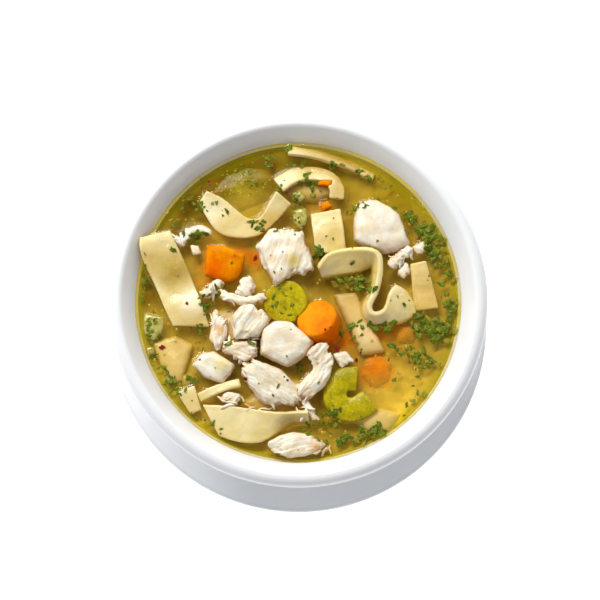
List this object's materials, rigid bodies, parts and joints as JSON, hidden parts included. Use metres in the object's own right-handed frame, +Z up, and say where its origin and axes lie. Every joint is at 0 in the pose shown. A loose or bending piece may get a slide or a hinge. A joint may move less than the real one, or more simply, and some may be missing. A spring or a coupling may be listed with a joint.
{
  "type": "bowl of chicken noodle soup",
  "caption": "Golden chicken soup with flat egg noodles, chicken lumps, carrot, celery and herbs in a plain white bowl on its saucer.",
  "frame": {"origin": "on the bowl's axis, at the plane that the saucer's foot ring stands on", "axes": "+Z up along the bowl's axis; +Y away from the eater, +X to the eater's right"},
  "size_m": [0.18, 0.18, 0.0784],
  "materials": {
    "white_glaze": "white glazed ceramic, glossy",
    "golden_broth": "clear golden broth over a cloudy one",
    "carrot": "cooked carrot, wet",
    "celery": "cooked celery, wet",
    "chicken_meat": "boiled white meat, fibrous and moist",
    "egg_noodle": "cooked flat egg noodle, soft and moist",
    "onion": "cooked onion, half clear",
    "parsley": "chopped fresh parsley",
    "chilli": "dried red chilli flakes"
  },
  "bodies": {
    "root": {"bowl": "white_glaze", "saucer": "white_glaze", "broth": "golden_broth", "carrot_block": "carrot", "carrot_nub": "carrot", "carrot_round": "carrot", "carrot_sliver": "carrot", "celery_crescent": "celery", "celery_round": "celery", "chicken_bent": "chicken_meat", "chicken_broad": "chicken_meat", "chicken_cluster": "chicken_meat", "chicken_cube": "chicken_meat", "chicken_flank": "chicken_meat", "chicken_green_strip": "chicken_meat", "chicken_hook": "chicken_meat", "chicken_left_low": "chicken_meat", "chicken_long_strip": "chicken_meat", "chicken_low_bit": "chicken_meat", "chicken_near_edge": "chicken_meat", "chicken_pale_bit": "chicken_meat", "chicken_ridge": "chicken_meat", "chicken_right_strip": "chicken_meat", "chicken_right_tip": "chicken_meat", "chicken_right_wedge": "chicken_meat", "chicken_smooth": "chicken_meat", "chicken_speck": "chicken_meat", "chicken_thin_strip": "chicken_meat", "chicken_under_cluster": "chicken_meat", "chicken_upper_arc": "chicken_meat", "noodle_against_wall": "egg_noodle", "noodle_boat": "egg_noodle", "noodle_broad_fold": "egg_noodle", "noodle_curl": "egg_noodle", "noodle_far_curl": "egg_noodle", "noodle_far_edge": "egg_noodle", "noodle_right_sunk": "egg_noodle", "noodle_short_end": "egg_noodle", "noodle_square": "egg_noodle", "noodle_thin_strip": "egg_noodle", "onion_at_wall": "onion", "onion_dice": "onion", "onion_flake": "onion", "onion_loop": "onion"}
  },
  "joints": []
}
